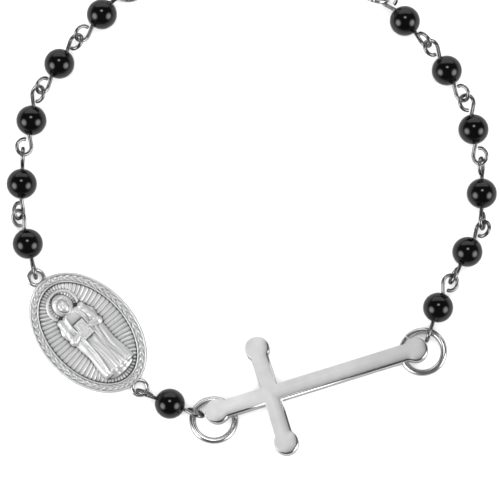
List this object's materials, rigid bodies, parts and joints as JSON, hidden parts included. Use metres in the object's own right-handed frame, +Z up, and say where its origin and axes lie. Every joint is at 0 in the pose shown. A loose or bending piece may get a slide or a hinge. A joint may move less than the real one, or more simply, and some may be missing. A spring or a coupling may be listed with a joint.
{
  "type": "rosary bracelet",
  "caption": "Closed-loop rosary bracelet of black beads on eye pins, with a sideways cross, an oval medal, jump rings and a chain with a clasp, laid flat.",
  "frame": {"origin": "middle of the footprint, on the surface the bracelet lies on", "axes": "+Z up from the surface; +Y from the cross across the loop towards the hidden clasp; +X to the right, seen from above with the cross nearest"},
  "size_m": [0.065, 0.071, 0.005],
  "materials": {
    "cross_steel": "satin, nearly polished",
    "ring_steel": "polished",
    "wire_steel": "polished",
    "medal_steel": "satin cast relief",
    "bead_stone": "high gloss, opaque black, as polished onyx or black glass"
  },
  "bodies": {
    "root": {"cross": "cross_steel", "cross_ring_left": "ring_steel", "cross_ring_right": "ring_steel", "medal": "medal_steel", "bead_1": "bead_stone", "bead_2": "bead_stone", "bead_3": "bead_stone", "bead_4": "bead_stone", "bead_5": "bead_stone", "bead_6": "bead_stone", "bead_7": "bead_stone", "bead_8": "bead_stone", "bead_9": "bead_stone", "bead_10": "bead_stone", "bead_11": "bead_stone", "bead_12": "bead_stone", "eye_pin_1": "wire_steel", "eye_pin_2": "wire_steel", "eye_pin_3": "wire_steel", "eye_pin_4": "wire_steel", "eye_pin_5": "wire_steel", "eye_pin_6": "wire_steel", "eye_pin_7": "wire_steel", "eye_pin_8": "wire_steel", "eye_pin_9": "wire_steel", "eye_pin_10": "wire_steel", "eye_pin_11": "wire_steel", "eye_pin_12": "wire_steel", "end_ring_left": "ring_steel", "end_ring_right": "ring_steel", "clasp": "ring_steel", "extender_link_1": "ring_steel", "extender_link_2": "ring_steel", "extender_link_3": "ring_steel", "extender_link_4": "ring_steel", "extender_link_5": "ring_steel", "extender_link_6": "ring_steel", "extender_link_7": "ring_steel"}
  },
  "joints": []
}
